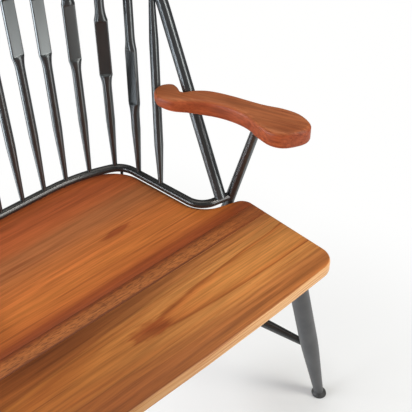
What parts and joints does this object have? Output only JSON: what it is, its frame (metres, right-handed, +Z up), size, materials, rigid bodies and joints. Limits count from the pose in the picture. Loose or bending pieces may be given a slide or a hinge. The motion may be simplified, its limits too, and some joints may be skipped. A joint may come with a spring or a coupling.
{
  "type": "armchair",
  "caption": "Hoop-back armchair: wide wooden board seat and shaped wooden arms on a painted steel frame with pressed spindles, splayed tapered legs and stretchers.",
  "frame": {"origin": "on the floor, under the middle of the chair", "axes": "+Z up, front of the seat towards -Y, +X to the right as seen from the front"},
  "size_m": [0.7296, 0.5136, 0.9895],
  "materials": {
    "rear_board_wood": "satin, reddish",
    "middle_strip_wood": "satin, brown with fine flecks",
    "front_board_wood": "satin, golden brown",
    "arm_wood": "satin, reddish brown",
    "frame_paint": "charcoal, satin gloss",
    "screw_steel": "blackened",
    "glide_rubber": "matt black"
  },
  "bodies": {
    "root": {"arm_bolt_left": "screw_steel", "arm_bolt_right": "screw_steel", "arm_post_left": "frame_paint", "arm_post_right": "frame_paint", "armrest_left": "arm_wood", "armrest_right": "arm_wood", "back_hoop": "frame_paint", "glide_front_left": "glide_rubber", "glide_front_right": "glide_rubber", "glide_rear_left": "glide_rubber", "glide_rear_right": "glide_rubber", "leg_front_left": "frame_paint", "leg_front_right": "frame_paint", "leg_plate_front_left": "frame_paint", "leg_plate_front_right": "frame_paint", "leg_plate_rear_left": "frame_paint", "leg_plate_rear_right": "frame_paint", "leg_rear_left": "frame_paint", "leg_rear_right": "frame_paint", "leg_screw_front_left_1": "screw_steel", "leg_screw_front_left_2": "screw_steel", "leg_screw_front_left_3": "screw_steel", "leg_screw_front_right_1": "screw_steel", "leg_screw_front_right_2": "screw_steel", "leg_screw_front_right_3": "screw_steel", "leg_screw_rear_left_1": "screw_steel", "leg_screw_rear_left_2": "screw_steel", "leg_screw_rear_left_3": "screw_steel", "leg_screw_rear_right_1": "screw_steel", "leg_screw_rear_right_2": "screw_steel", "leg_screw_rear_right_3": "screw_steel", "post_strap_left": "frame_paint", "post_strap_right": "frame_paint", "post_strap_screw_left": "screw_steel", "post_strap_screw_right": "screw_steel", "rail_strap_left": "frame_paint", "rail_strap_right": "frame_paint", "rail_strap_screw_left": "screw_steel", "rail_strap_screw_right": "screw_steel", "seat_board_front": "front_board_wood", "seat_board_middle": "middle_strip_wood", "seat_board_rear": "rear_board_wood", "seat_rail": "frame_paint", "spindle_left_1": "frame_paint", "spindle_left_2": "frame_paint", "spindle_left_3": "frame_paint", "spindle_left_4": "frame_paint", "spindle_left_5": "frame_paint", "spindle_left_6": "frame_paint", "spindle_middle": "frame_paint", "spindle_right_1": "frame_paint", "spindle_right_2": "frame_paint", "spindle_right_3": "frame_paint", "spindle_right_4": "frame_paint", "spindle_right_5": "frame_paint", "spindle_right_6": "frame_paint", "stretcher_cross": "frame_paint", "stretcher_left": "frame_paint", "stretcher_right": "frame_paint"}
  },
  "joints": []
}
